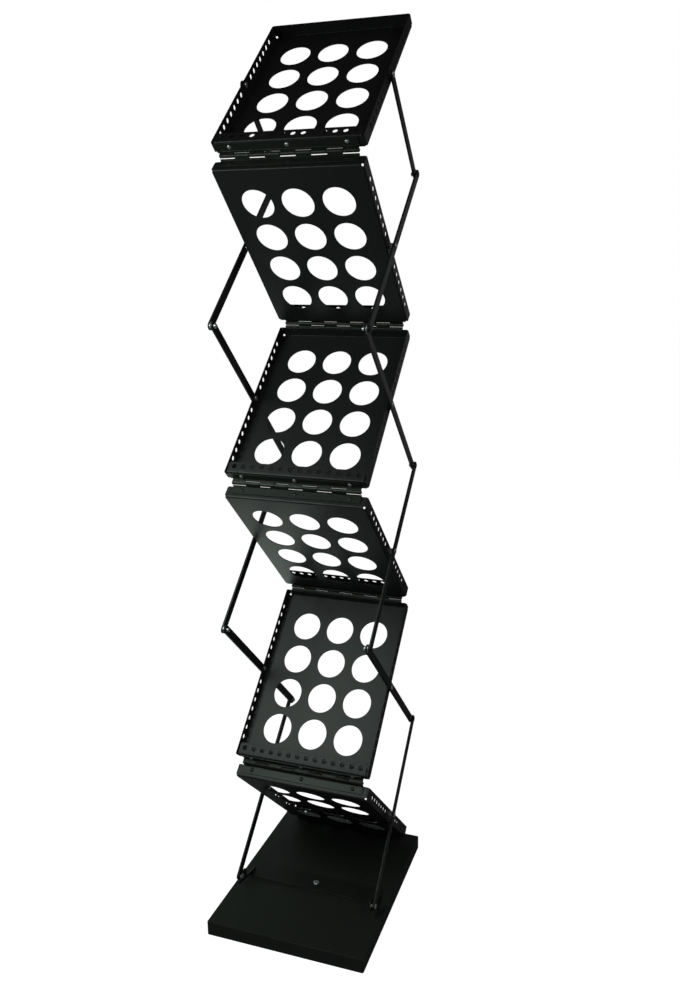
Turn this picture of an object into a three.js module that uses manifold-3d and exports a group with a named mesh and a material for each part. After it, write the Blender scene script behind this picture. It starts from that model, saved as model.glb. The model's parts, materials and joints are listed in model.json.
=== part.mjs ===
// Folding zig-zag literature stand: six perforated steel trays hinged edge to edge,
// carried by crossed side struts, on a flat base board.
//
// Millimetres, +Z up. The origin is the centre of the base board's underside.
// +X is the stand's right side, -Y its front, +Y its rear.
//
// Each tray has a local frame whose origin is its lower hinge axis:
//   X across, Y up the panel, Z out of the panel on the side that holds the brochures.
// Trays are numbered from the bottom. Even trays face the front, odd trays face the rear.

import * as THREE from 'three';
import { mergeVertices } from 'three/addons/utils/BufferGeometryUtils.js';
import Module from 'manifold-3d';

const wasm = await Module();
wasm.setup();

// ---------------------------------------------------------------- driving dimensions

const TRAY_COUNT = 6;
const OPEN_ANGLE = THREE.MathUtils.degToRad(46); // panel slope above the horizontal

const SHEET = 1.6; // tray steel
const TRAY_WIDTH = 236;
const TRAY_DEPTH = 20; // height of the four flanges, outside
const HINGE_SPACING = 318; // lower to upper hinge axis, along the panel
const STACK_PITCH = 21; // hinge axis to hinge axis, square to the panel
const HINGE_SETBACK = 7.5; // hinge axis to the flange's outer face
const PANEL_DROP = 1.8; // hinge axis to the panel's outer face
const LIP_WIDTH = 20; // return lip on the lower flange
const LIP_END_GAP = 4; // lip's end to the tray's side

const HOLE_DIAMETER = 50;
const HOLE_COLUMNS = [-65, 0, 65];
const HOLE_ROW_PITCH = 62.5;
const HOLE_ROWS = 4;
const HOLE_CENTRE_SHIFT = -2.5; // the pattern sits a little below mid-panel
const HOLE_SIDES = 16;

const BASE_WIDTH = 278;
const BASE_LENGTH = 311;
const BASE_THICKNESS = 25;
const BASE_CORNER = 3;
const BASE_REAR_MARGIN = 18.5; // hinge axis to the board's rear edge
const BASE_HINGE_HEIGHT = 5.5; // hinge axis above the board

const GAP = 0.3; // kept between pieces that touch

const LEAF_THICKNESS = 1.2;
const LEAF_HEIGHT = 15.6;
const LEAF_START = 0.4; // hinge axis level to the leaf's edge
const BARREL_RADIUS = 3.2;
const BORE_RADIUS = 1.75;
const PIN_RADIUS = 1.5;
const PIN_OVERHANG = 1;
const KNUCKLE_COUNT = 9;
const KNUCKLE_PITCH = 24;
const KNUCKLE_GAP = 0.5;
const KNUCKLE_SIDES = 8;

const STRUT_WIDTH = 13.5;
const STRUT_THICKNESS = 3;
const STRUT_HALF = 169; // tray pivot to strut joint; a little more than half a tray
const INNER_STRUT_X = 120.2; // inner face of the inner layer of struts
const OUTER_STRUT_X = 125; // inner face of the outer layer of struts
const STRUT_HOLE_RADIUS = 3.0;
const JOINT_HOLE_RADIUS = 4.6; // inner strut's joint holes, wide enough for the coupling's drift
const STRUT_END_STEPS = 4;

const SHANK_RADIUS = 2.5;
const JOINT_SHANK_RADIUS = 2.2; // joint rivet's shank inside the inner strut
const RIVET_SIDES = 8;
const HEAD_RADIUS = 5;
const HEAD_HEIGHT = 1.2;
const SHOULDER_RADIUS = 4.6;
const INNER_HEAD_RADIUS = 4.4;
const WASHER_RADIUS = 6.8;
const TAIL_RADIUS = 5;
const TAIL_LENGTH = 4;

const FOOT_HEIGHT = 17; // foot pivot above the bottom hinge axis
const STUD_RADIUS = 3;
const STUD_HEAD_RADIUS = 4.5;
const STUD_HEAD_THICKNESS = 0.9;
const STUD_SIDES = 8;
const STRAP_THICKNESS = 1.5;
const STRAP_FRONT = -175; // from the bottom hinge axis, towards the front
const STRAP_REAR = -139;
const EAR_INNER_X = 119.6;
const EAR_THICKNESS = 2;
const EAR_SLOT_HALF = 4.2;
const EAR_NOSE = 10.5; // slot's closed end centre to the ear's front edge
const EAR_CROWN = 8.3; // foot pivot to the ear's top edge

// ---------------------------------------------------------------- derived dimensions

const LINE_LENGTH = Math.hypot(HINGE_SPACING, STACK_PITCH); // hinge axis to hinge axis
const LINE_ANGLE = OPEN_ANGLE + Math.atan2(STACK_PITCH, HINGE_SPACING);
const HALF_LINE = LINE_LENGTH / 2;
const HALF_TRAY = TRAY_WIDTH / 2;
const PANEL_TOP = HINGE_SPACING - HINGE_SETBACK;
const RIM = TRAY_DEPTH - PANEL_DROP; // level of the flange edges
const HINGE_HALF = (KNUCKLE_COUNT * KNUCKLE_PITCH) / 2;
const BOTTOM_HINGE_Y = BASE_LENGTH / 2 - BASE_REAR_MARGIN;
const BOTTOM_HINGE_Z = BASE_THICKNESS + BASE_HINGE_HEIGHT;
const HALF_RISE = HALF_LINE * Math.sin(LINE_ANGLE);
const HALF_RUN = HALF_LINE * Math.cos(LINE_ANGLE);
const STRUT_ANGLE = Math.asin(HALF_RISE / STRUT_HALF); // slope of a strut above the horizontal
const FOOT_REACH = (HALF_RISE - FOOT_HEIGHT) / Math.sin(STRUT_ANGLE); // bottom pivot to the foot stud
const FOOT_Y = -HALF_RUN - FOOT_REACH * Math.cos(STRUT_ANGLE); // from the bottom hinge axis

// ---------------------------------------------------------------- finishes

function finish(color, roughness, metalness) {
  return new THREE.MeshStandardMaterial({ color, roughness, metalness });
}

const trayPaint = finish(0x151815, 0.45, 0.1);
const strutPaint = finish(0x121412, 0.5, 0.1);
const hingePaint = finish(0x181a18, 0.42, 0.2);
const boardGloss = finish(0x0c0e0d, 0.15, 0.0);
const zinc = finish(0xb9bcbd, 0.3, 0.9);

// ---------------------------------------------------------------- solids

function solid(geometry) {
  const bare = geometry.clone();
  bare.deleteAttribute('normal');
  bare.deleteAttribute('uv');
  const merged = mergeVertices(bare, 1e-4);
  return new wasm.Manifold(new wasm.Mesh({
    numProp: 3,
    vertProperties: new Float32Array(merged.attributes.position.array),
    triVerts: new Uint32Array(merged.index.array),
  }));
}

function geometryOf(manifold) {
  const mesh = manifold.getMesh();
  const geometry = new THREE.BufferGeometry();
  geometry.setAttribute('position', new THREE.BufferAttribute(new Float32Array(mesh.vertProperties), 3));
  geometry.setIndex(new THREE.BufferAttribute(new Uint32Array(mesh.triVerts), 1));
  geometry.computeVertexNormals();
  return geometry;
}

function block(x, y, z) {
  const geometry = new THREE.BoxGeometry(x[1] - x[0], y[1] - y[0], z[1] - z[0]);
  geometry.translate((x[0] + x[1]) / 2, (y[0] + y[1]) / 2, (z[0] + z[1]) / 2);
  return solid(geometry);
}

// A cylinder along X from x[0] to x[1], centred on (y, z).
function barAcross(radius, x, y, z, sides) {
  const geometry = new THREE.CylinderGeometry(radius, radius, x[1] - x[0], sides);
  geometry.rotateY(Math.PI / sides);
  geometry.rotateZ(-Math.PI / 2);
  geometry.translate((x[0] + x[1]) / 2, y, z);
  return solid(geometry);
}

// A flat outline drawn in (Y, Z) and given its thickness along X, from x[0] to x[1].
function plateAcross(shape, x, curveSegments) {
  const geometry = new THREE.ExtrudeGeometry(shape, {
    depth: x[1] - x[0],
    bevelEnabled: false,
    curveSegments,
  });
  const turn = new THREE.Matrix4().makeBasis(
    new THREE.Vector3(0, 1, 0),
    new THREE.Vector3(0, 0, 1),
    new THREE.Vector3(1, 0, 0),
  );
  geometry.applyMatrix4(turn);
  geometry.translate(x[0], 0, 0);
  return solid(geometry);
}

// ---------------------------------------------------------------- tray

function trayGeometry() {
  const side = [-HALF_TRAY, HALF_TRAY];
  let tray = block(side, [HINGE_SETBACK, PANEL_TOP], [-PANEL_DROP, RIM]);
  const hollow = block(
    [-HALF_TRAY + SHEET, HALF_TRAY - SHEET],
    [HINGE_SETBACK + SHEET, PANEL_TOP - SHEET],
    [-PANEL_DROP + SHEET, RIM + SHEET],
  );
  tray = tray.subtract(hollow);

  const lip = block(
    [-HALF_TRAY + LIP_END_GAP, HALF_TRAY - LIP_END_GAP],
    [HINGE_SETBACK + SHEET / 2, HINGE_SETBACK + LIP_WIDTH],
    [RIM - SHEET, RIM],
  );
  tray = tray.add(lip);

  const patternCentre = HINGE_SPACING / 2 + HOLE_CENTRE_SHIFT;
  for (let row = 0; row < HOLE_ROWS; row += 1) {
    const y = patternCentre + (row - (HOLE_ROWS - 1) / 2) * HOLE_ROW_PITCH;
    for (const x of HOLE_COLUMNS) {
      const cutter = new THREE.CylinderGeometry(HOLE_DIAMETER / 2, HOLE_DIAMETER / 2, 4 * SHEET, HOLE_SIDES);
      cutter.rotateX(Math.PI / 2);
      cutter.translate(x, y, -PANEL_DROP + SHEET / 2);
      tray = tray.subtract(solid(cutter));
    }
  }

  const pivotHole = barAcross(
    STRUT_HOLE_RADIUS,
    [-HALF_TRAY - SHEET, HALF_TRAY + SHEET],
    HINGE_SPACING / 2,
    STACK_PITCH / 2,
    RIVET_SIDES,
  );
  return geometryOf(tray.subtract(pivotHole));
}

// ---------------------------------------------------------------- hinge

function knuckleSpan(index) {
  const start = -HINGE_HALF + index * KNUCKLE_PITCH;
  return [start + KNUCKLE_GAP / 2, start + KNUCKLE_PITCH - KNUCKLE_GAP / 2];
}

// Adds this leaf's own barrel knuckles, each on an arm made by arm(span), and bores them.
function withKnuckles(leaf, firstKnuckle, arm) {
  let body = leaf;
  for (let index = firstKnuckle; index < KNUCKLE_COUNT; index += 2) {
    const span = knuckleSpan(index);
    body = body.add(barAcross(BARREL_RADIUS, span, 0, 0, KNUCKLE_SIDES)).add(arm(span));
  }
  const bore = barAcross(BORE_RADIUS, [-HINGE_HALF - 1, HINGE_HALF + 1], 0, 0, KNUCKLE_SIDES);
  return body.subtract(bore);
}

// A leaf on a tray flange. Drawn for the tray above the hinge, in that tray's frame.
function trayLeaf(firstKnuckle) {
  const back = HINGE_SETBACK - GAP;
  const front = back - LEAF_THICKNESS;
  const leaf = block([-HINGE_HALF, HINGE_HALF], [front, back], [LEAF_START, LEAF_START + LEAF_HEIGHT]);
  const armOf = (span) => block(
    span,
    [BARREL_RADIUS / 2, front + LEAF_THICKNESS / 2],
    [LEAF_START, LEAF_START + LEAF_THICKNESS],
  );
  return withKnuckles(leaf, firstKnuckle, armOf);
}

function upperLeafGeometry() {
  return geometryOf(trayLeaf(0));
}

// The same leaf turned over, for the flange of the tray below the hinge.
function lowerLeafGeometry() {
  const geometry = geometryOf(trayLeaf(1));
  geometry.rotateX(Math.PI);
  return geometry;
}

// The bottom hinge's lower leaf lies on the base board, behind the barrel.
function baseLeafGeometry() {
  const floor = -BASE_HINGE_HEIGHT + GAP;
  const reach = BARREL_RADIUS - 1.2;
  const leaf = block([-HINGE_HALF, HINGE_HALF], [reach, reach + 14], [floor, floor + LEAF_THICKNESS]);
  const saddleOf = (span) => block(span, [-1.2, BARREL_RADIUS], [floor, -0.75 * BARREL_RADIUS]);
  return geometryOf(withKnuckles(leaf, 1, saddleOf));
}

function pinGeometry() {
  const length = 2 * (HINGE_HALF + PIN_OVERHANG);
  const geometry = new THREE.CylinderGeometry(PIN_RADIUS, PIN_RADIUS, length, KNUCKLE_SIDES);
  geometry.rotateY(Math.PI / KNUCKLE_SIDES);
  geometry.rotateZ(-Math.PI / 2);
  return geometry;
}

// ---------------------------------------------------------------- struts

// A flat bar along Y with round ends. Each hole is [place along Y, radius].
function strutSolid(lowEnd, highEnd, holes) {
  const half = STRUT_WIDTH / 2;
  const outline = new THREE.Shape();
  outline.absarc(highEnd, 0, half, -Math.PI / 2, Math.PI / 2, false);
  outline.absarc(lowEnd, 0, half, Math.PI / 2, 1.5 * Math.PI, false);
  let bar = plateAcross(outline, [0, STRUT_THICKNESS], STRUT_END_STEPS);
  for (const [y, radius] of holes) {
    bar = bar.subtract(barAcross(radius, [-1, STRUT_THICKNESS + 1], y, 0, RIVET_SIDES));
  }
  return bar;
}

// The lowest strut ends in a headed stud that points inwards and hooks into the foot strap's ear.
function footStrutSolid(side) {
  const holes = [[0, STRUT_HOLE_RADIUS], [STRUT_HALF, STRUT_HOLE_RADIUS]];
  const bar = strutSolid(-FOOT_REACH, STRUT_HALF, holes);
  const headInner = EAR_INNER_X - GAP - STUD_HEAD_THICKNESS;
  const toInnerFace = OUTER_STRUT_X;
  const shank = barAcross(
    STUD_RADIUS,
    [headInner - toInnerFace, STRUT_THICKNESS / 2],
    -FOOT_REACH,
    0,
    STUD_SIDES,
  );
  const head = barAcross(
    STUD_HEAD_RADIUS,
    [headInner - toInnerFace, headInner - toInnerFace + STUD_HEAD_THICKNESS],
    -FOOT_REACH,
    0,
    STUD_SIDES,
  );
  const whole = bar.add(shank).add(head);
  return side > 0 ? whole : whole.mirror([1, 0, 0]).translate([STRUT_THICKNESS, 0, 0]);
}

function strutGeometry(level, side) {
  if (level === 1) return geometryOf(footStrutSolid(side));
  const jointHole = level % 2 === 1 ? STRUT_HOLE_RADIUS : JOINT_HOLE_RADIUS;
  const lowHole = [-STRUT_HALF, jointHole];
  const pivotHole = [0, STRUT_HOLE_RADIUS];
  if (level === TRAY_COUNT) return geometryOf(strutSolid(-STRUT_HALF, 0, [lowHole, pivotHole]));
  return geometryOf(strutSolid(-STRUT_HALF, STRUT_HALF, [lowHole, pivotHole, [STRUT_HALF, jointHole]]));
}

function strutFace(level) {
  return level % 2 === 1 ? OUTER_STRUT_X : INNER_STRUT_X;
}

// ---------------------------------------------------------------- rivets

// A turned rivet whose axis is X. Each step is [radius, x where it starts, x where it ends],
// measured from the stand's middle plane outwards.
function rivetGeometry(steps) {
  const profile = [new THREE.Vector2(0, steps[0][1])];
  for (const [radius, start, end] of steps) {
    profile.push(new THREE.Vector2(radius, start), new THREE.Vector2(radius, end));
  }
  profile.push(new THREE.Vector2(0, steps[steps.length - 1][2]));
  return new THREE.LatheGeometry(profile, RIVET_SIDES);
}

// Holds a strut to a tray: head inside the flange, shoulder as the spacer, head outside the strut.
function trayPivotGeometry(level) {
  const inside = HALF_TRAY - SHEET - GAP;
  const face = strutFace(level);
  const outside = face + STRUT_THICKNESS + GAP;
  return rivetGeometry([
    [INNER_HEAD_RADIUS, inside - HEAD_HEIGHT, inside],
    [SHANK_RADIUS, inside, HALF_TRAY + GAP],
    [SHOULDER_RADIUS, HALF_TRAY + GAP, face - GAP],
    [SHANK_RADIUS, face - GAP, outside],
    [HEAD_RADIUS, outside, outside + HEAD_HEIGHT],
  ]);
}

// Joins two struts end to end: flat head outside, broad washer between, long tail inside.
function strutRivetGeometry() {
  const innerBack = INNER_STRUT_X - GAP;
  const innerFront = INNER_STRUT_X + STRUT_THICKNESS + GAP;
  const outerBack = OUTER_STRUT_X - GAP;
  const outerFront = OUTER_STRUT_X + STRUT_THICKNESS + GAP;
  return rivetGeometry([
    [TAIL_RADIUS, innerBack - TAIL_LENGTH, innerBack],
    [JOINT_SHANK_RADIUS, innerBack, innerFront],
    [WASHER_RADIUS, innerFront, outerBack],
    [SHANK_RADIUS, outerBack, outerFront],
    [HEAD_RADIUS, outerFront, outerFront + HEAD_HEIGHT],
  ]);
}

// ---------------------------------------------------------------- base

function baseBoardGeometry() {
  const halfX = BASE_WIDTH / 2;
  const halfY = BASE_LENGTH / 2;
  const reachX = halfX - BASE_CORNER;
  const reachY = halfY - BASE_CORNER;
  const outline = new THREE.Shape();
  outline.absarc(reachX, -reachY, BASE_CORNER, -Math.PI / 2, 0, false);
  outline.absarc(reachX, reachY, BASE_CORNER, 0, Math.PI / 2, false);
  outline.absarc(-reachX, reachY, BASE_CORNER, Math.PI / 2, Math.PI, false);
  outline.absarc(-reachX, -reachY, BASE_CORNER, Math.PI, 1.5 * Math.PI, false);
  return geometryOf(solid(new THREE.ExtrudeGeometry(outline, {
    depth: BASE_THICKNESS,
    bevelEnabled: false,
    curveSegments: 3,
  })));
}

// A steel strap across the board with both ends turned up into forked ears.
// Drawn from the bottom hinge axis in Y and from the board's top in Z.
function footStrapGeometry() {
  const earOuterX = EAR_INNER_X + EAR_THICKNESS;
  const pivotZ = BASE_HINGE_HEIGHT + FOOT_HEIGHT;
  let strap = block([-earOuterX, earOuterX], [STRAP_FRONT, STRAP_REAR], [GAP, GAP + STRAP_THICKNESS]);

  const nose = FOOT_Y - EAR_NOSE;
  const crown = pivotZ + EAR_CROWN;
  const ear = new THREE.Shape();
  ear.moveTo(STRAP_FRONT + 7, GAP);
  ear.lineTo(STRAP_FRONT + 7, 8);
  ear.lineTo(FOOT_Y + 9, crown);
  ear.lineTo(nose + 3, crown);
  ear.lineTo(nose, crown - 3);
  ear.lineTo(nose, pivotZ + EAR_SLOT_HALF);
  ear.absarc(FOOT_Y, pivotZ, EAR_SLOT_HALF, Math.PI / 2, -Math.PI / 2, true);
  ear.lineTo(nose, pivotZ - EAR_SLOT_HALF);
  ear.lineTo(nose, pivotZ - EAR_SLOT_HALF - 4);
  ear.lineTo(STRAP_FRONT, GAP);
  strap = strap.add(plateAcross(ear, [EAR_INNER_X, earOuterX], 6));
  strap = strap.add(plateAcross(ear, [-earOuterX, -EAR_INNER_X], 6));
  return geometryOf(strap);
}

// ---------------------------------------------------------------- placing

// The hinge axes as (y, z), from the bottom hinge up; they alternate rear, front, rear.
function hingeAxes() {
  const axes = [new THREE.Vector2(BOTTOM_HINGE_Y, BOTTOM_HINGE_Z)];
  for (let level = 1; level <= TRAY_COUNT; level += 1) {
    const toFront = level % 2 === 1 ? -1 : 1;
    const step = new THREE.Vector2(
      toFront * 2 * HALF_RUN,
      2 * HALF_RISE,
    );
    axes.push(axes[level - 1].clone().add(step));
  }
  return axes;
}

const axes = hingeAxes();
const stand = new THREE.Group();

function addPiece(parent, name, geometry, material) {
  const mesh = new THREE.Mesh(geometry, material);
  mesh.name = name;
  parent.add(mesh);
  return mesh;
}

// A group whose frame is the tray frame at this level.
function trayFrame(level) {
  const turn = new THREE.Group();
  turn.position.set(0, axes[level - 1].x, axes[level - 1].y);
  turn.rotation.z = level % 2 === 1 ? Math.PI : 0;
  const tilt = new THREE.Group();
  tilt.rotation.x = OPEN_ANGLE;
  turn.add(tilt);
  stand.add(turn);
  return tilt;
}

function trayMiddle(level) {
  return axes[level - 1].clone().add(axes[level]).multiplyScalar(0.5);
}

// The strut joint at the height of a hinge, on the stand's other side from it.
function strutJoint(index) {
  const away = index % 2 === 1 ? 1 : -1;
  const reach = STRUT_HALF * Math.cos(STRUT_ANGLE);
  return new THREE.Vector2(trayMiddle(index).x + away * reach, axes[index].y);
}

function addBase() {
  addPiece(stand, 'base_board', baseBoardGeometry(), boardGloss);
  const strap = addPiece(stand, 'foot_strap', footStrapGeometry(), hingePaint);
  strap.position.set(0, BOTTOM_HINGE_Y, BASE_THICKNESS);
  const leaf = addPiece(stand, 'hinge_1_lower_leaf', baseLeafGeometry(), hingePaint);
  leaf.position.set(0, BOTTOM_HINGE_Y, BOTTOM_HINGE_Z);
}

function addTrays() {
  const tray = trayGeometry();
  const upperLeaf = upperLeafGeometry();
  const lowerLeaf = lowerLeafGeometry();
  const pin = pinGeometry();
  for (let level = 1; level <= TRAY_COUNT; level += 1) {
    const frame = trayFrame(level);
    addPiece(frame, `tray_${level}`, tray, trayPaint);
    addPiece(frame, `hinge_${level}_upper_leaf`, upperLeaf, hingePaint);
    addPiece(frame, `hinge_${level}_pin`, pin, zinc);
    if (level === TRAY_COUNT) continue;
    const leaf = addPiece(frame, `hinge_${level + 1}_lower_leaf`, lowerLeaf, hingePaint);
    leaf.position.set(0, HINGE_SPACING, STACK_PITCH);
  }
}

function addStruts(sideName, side) {
  for (let level = 1; level <= TRAY_COUNT; level += 1) {
    const middle = trayMiddle(level);
    const face = strutFace(level);
    const slope = level % 2 === 1 ? STRUT_ANGLE : Math.PI - STRUT_ANGLE;
    const strut = addPiece(stand, `strut_${level}_${sideName}`, strutGeometry(level, side), strutPaint);
    strut.position.set(side > 0 ? face : -face - STRUT_THICKNESS, middle.x, middle.y);
    strut.rotation.x = slope;

    const pivot = addPiece(stand, `tray_pivot_${level}_${sideName}`, trayPivotGeometry(level), zinc);
    pivot.position.set(0, middle.x, middle.y);
    pivot.rotation.z = (-side * Math.PI) / 2;
  }
  for (let index = 1; index < TRAY_COUNT; index += 1) {
    const joint = strutJoint(index);
    const rivet = addPiece(stand, `strut_rivet_${index}_${sideName}`, strutRivetGeometry(), zinc);
    rivet.position.set(0, joint.x, joint.y);
    rivet.rotation.z = (-side * Math.PI) / 2;
  }
}

addBase();
addTrays();
addStruts('right', 1);
addStruts('left', -1);

export default stand;
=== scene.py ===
"""Visible pieces of a folding zig-zag newspaper rack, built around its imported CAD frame.

Lengths are metres. Each tray is drawn flat in its own frame, whose origin is the tray's lower
hinge axis: X runs across, Y up the panel, Z out of the side that holds the papers. The finished
mesh is then laid at its place on the open stand.
"""

import json
import math

import bmesh
import bpy
from bpy.props import FloatProperty, FloatVectorProperty, IntProperty, PointerProperty
from mathutils import Matrix, Vector


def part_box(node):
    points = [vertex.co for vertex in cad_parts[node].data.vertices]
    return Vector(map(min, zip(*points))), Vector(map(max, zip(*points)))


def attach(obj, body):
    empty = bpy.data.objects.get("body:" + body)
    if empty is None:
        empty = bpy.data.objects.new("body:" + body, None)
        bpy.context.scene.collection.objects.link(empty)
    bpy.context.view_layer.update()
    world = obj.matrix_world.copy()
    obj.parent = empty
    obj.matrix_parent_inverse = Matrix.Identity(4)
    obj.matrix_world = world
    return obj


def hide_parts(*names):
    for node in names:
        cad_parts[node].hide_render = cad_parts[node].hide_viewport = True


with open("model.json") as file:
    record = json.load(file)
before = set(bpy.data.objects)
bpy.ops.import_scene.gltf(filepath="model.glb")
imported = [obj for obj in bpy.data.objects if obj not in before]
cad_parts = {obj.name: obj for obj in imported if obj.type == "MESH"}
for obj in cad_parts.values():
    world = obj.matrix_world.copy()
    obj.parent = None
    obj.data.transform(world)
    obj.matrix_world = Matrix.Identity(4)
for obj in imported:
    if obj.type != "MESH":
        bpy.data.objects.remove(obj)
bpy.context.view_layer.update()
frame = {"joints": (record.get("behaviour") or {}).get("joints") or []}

bl_info = {
    "name": "Newspaper rack",
    "version": (1, 0, 0),
    "blender": (4, 5, 0),
    "location": "View3D > Sidebar > Rack",
    "description": "Builds the visible pieces of a folding zig-zag newspaper rack",
    "category": "Add Mesh",
}

MM = 0.001
MERGE = 0.00002  # vertices closer than this are one
TRAY_COUNT = 6
SIDES = (("left", -1), ("right", 1))
QUARTER = math.pi / 2
RIM_MARK = "rim"  # face attribute, 1 on a sheet's cut edges and chamfers

JOINT_AT = {j["name"]: Vector(j["pos_m"]) for j in frame["joints"]}
HINGE_AT = [JOINT_AT["fold"]] + [JOINT_AT[f"hinge_{n}"] for n in range(2, TRAY_COUNT + 1)]
LINE = HINGE_AT[1] - HINGE_AT[0]
LINE_ANGLE = math.atan2(LINE.z, -LINE.y)
HALF_RISE = LINE.z / 2
HALF_RUN = -LINE.y / 2
BOARD_LOW, BOARD_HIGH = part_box("base_board")


# ---------------------------------------------------------------- sizes and colours


def length(name, text, value, largest=2.0):
    return FloatProperty(
        name=name, description=text, default=value, min=0.0, max=largest,
        precision=5, subtype="DISTANCE", unit="LENGTH",
    )


def colour(name, text, value):
    return FloatVectorProperty(
        name=name, description=text, default=value, size=4, min=0.0, max=1.0, subtype="COLOR",
    )


def share(name, text, value):
    return FloatProperty(
        name=name, description=text, default=value, min=0.0, max=1.0, subtype="FACTOR",
    )


class RackTraySizes(bpy.types.PropertyGroup):
    width: length("Width", "Outside width of a tray", 0.236)
    flange: length("Flange", "Outside height of the four flanges", 0.020)
    sheet: length("Sheet", "Thickness of the tray's steel", 0.0016)
    bend: length("Bend", "Outer radius of the folds", 0.0024)
    spacing: length("Hinge spacing", "Lower to upper hinge axis, along the panel", 0.318)
    stack: length("Stack pitch", "Hinge axis to hinge axis, square to the panel", 0.021)
    setback: length("Setback", "Hinge axis to the flange's outer face", 0.0075)
    drop: length("Panel drop", "Hinge axis to the panel's outer face", 0.0018)
    lip: length("Lip", "Width of the return lip on the lower flange", 0.020)
    lip_gap: length("Lip gap", "Lip's end to the tray's side", 0.004)
    hole: length("Large hole", "Diameter of the panel's holes", 0.050)
    column_pitch: length("Column pitch", "Large holes, centre to centre across", 0.065)
    row_pitch: length("Row pitch", "Large holes, centre to centre up the panel", 0.0625)
    row_shift: length("Pattern shift", "How far the pattern sits below mid-panel", 0.0025)
    dot: length("Small hole", "Diameter of the side flanges' holes", 0.0074)
    lip_dot: length("Lip hole", "Diameter of the lip's holes", 0.0078)
    dot_pitch: length("Small pitch", "Small holes, centre to centre", 0.016)
    relief: length("Corner relief", "Radius of the relief in each panel corner", 0.0013)
    chamfer: length("Edge break", "Chamfer on cut edges", 0.0003)


class RackHingeSizes(bpy.types.PropertyGroup):
    leaf: length("Leaf", "Thickness of the hinge leaves", 0.0012)
    height: length("Leaf height", "Hinge axis level to the leaf's free edge", 0.016)
    barrel: length("Barrel", "Outer radius of the knuckles", 0.0032)
    pin: length("Pin", "Radius of the hinge pin", 0.0015)
    pitch: length("Knuckle pitch", "Knuckle to knuckle", 0.024)
    notch: length("Notch", "Hinge axis to a leaf's edge between its knuckles", 0.0027)
    open_notch: length("Open notch", "The same on the lower leaves of the front hinges", 0.0036)
    gap: length("Knuckle gap", "Clear space between knuckles", 0.0005)
    knuckles: IntProperty(name="Knuckles", description="Knuckles in one hinge", default=9, min=3)
    rivet_x: length("Rivet offset", "Middle to the outer leaf rivets", 0.091)
    rivet_up: length("Rivet height", "Hinge axis level to the rivets", 0.0095)


class RackStrutSizes(bpy.types.PropertyGroup):
    width: length("Width", "Width of the flat bar", 0.0135)
    thickness: length("Thickness", "Thickness of the flat bar", 0.003)
    half: length("Half", "Tray pivot to strut joint", 0.169)
    inner: length("Inner layer", "Middle plane to the inner bars' inside", 0.1202)
    outer: length("Outer layer", "Middle plane to the outer bars' inside", 0.125)
    hole: length("Hole", "Radius of the rivet holes", 0.003)
    chamfer: length("Edge break", "Rounding of the bar's edges", 0.00045)


class RackBaseSizes(bpy.types.PropertyGroup):
    corner: length("Corner", "Corner radius of the board", 0.003)
    edge: length("Edge", "Rounding of the board's long edges", 0.0012)
    strap: length("Strap", "Thickness of the foot strap", 0.0015)
    ear_at: length("Ears", "Middle plane to the ears' inside", 0.1196)
    ear: length("Ear", "Thickness of the ears", 0.002)


class RackFinishes(bpy.types.PropertyGroup):
    tray: colour("Tray paint", "Powder coat on the trays", (0.0022, 0.0027, 0.0024, 1.0))
    strut: colour("Strut paint", "Paint on the side bars", (0.0032, 0.0037, 0.0034, 1.0))
    hinge: colour("Hinge paint", "Paint on hinges and strap", (0.0022, 0.0027, 0.0024, 1.0))
    board: colour("Board lacquer", "Lacquer on the base board", (0.0012, 0.0014, 0.0013, 1.0))
    zinc: colour("Zinc", "Plating on rivets and screws", (0.84, 0.85, 0.86, 1.0))
    dust: share("Dust", "How much dust lies on level faces", 0.05)
    wear: share("Wear", "How much the cut edges have rubbed", 0.35)


class RackStage(bpy.types.PropertyGroup):
    floor: colour("Floor", "Colour of the floor", (0.38, 0.38, 0.38, 1.0))
    key: FloatProperty(name="Key", description="Power of the key light", default=12.0, unit="POWER")
    fill: FloatProperty(name="Fill", description="Power of the fill", default=2.0, unit="POWER")
    lens: FloatProperty(
        name="Lens", description="Focal length", default=28.854, unit="CAMERA",
    )


# ---------------------------------------------------------------- drawing sheets


class Outline:
    """A closed line drawn in the XY plane of a bmesh, vertex by vertex."""

    def __init__(self, bm, x, y):
        self.bm = bm
        self.first = self.last = bm.verts.new((x, y, 0.0))
        self.edges = []

    def line(self, x, y):
        made = bmesh.ops.extrude_vert_indiv(self.bm, verts=[self.last])
        self.last = made["verts"][0]
        self.last.co = (x, y, 0.0)
        self.edges += made["edges"]
        return self

    def arc(self, x, y, angle, steps):
        """Turns about (x, y) by angle, in radians, anticlockwise when positive."""
        before = set(self.bm.edges)
        made = bmesh.ops.spin(
            self.bm, geom=[self.last], cent=(x, y, 0.0), axis=(0.0, 0.0, 1.0),
            angle=angle, steps=steps, use_duplicate=False,
        )
        self.last = next(g for g in made["geom_last"] if isinstance(g, bmesh.types.BMVert))
        self.edges += [e for e in self.bm.edges if e not in before]
        return self

    def close(self):
        self.edges.append(self.bm.edges.new((self.last, self.first)))
        return self.edges


def ring(bm, x, y, radius, sides):
    """A hole's edge in the XY plane."""
    made = bmesh.ops.create_circle(
        bm, cap_ends=False, radius=radius, segments=sides,
        matrix=Matrix.Translation((x, y, 0.0)),
    )
    return list({e for v in made["verts"] for e in v.link_edges})


def plate(draw, place):
    """A flat holed sheet: draw(bm) gives its edges in XY, and place lays it in space."""
    bm = bmesh.new()
    edges = draw(bm)
    bmesh.ops.triangle_fill(bm, use_beauty=True, use_dissolve=False, edges=edges)
    bmesh.ops.transform(bm, matrix=place, verts=bm.verts)
    return bm


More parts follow.
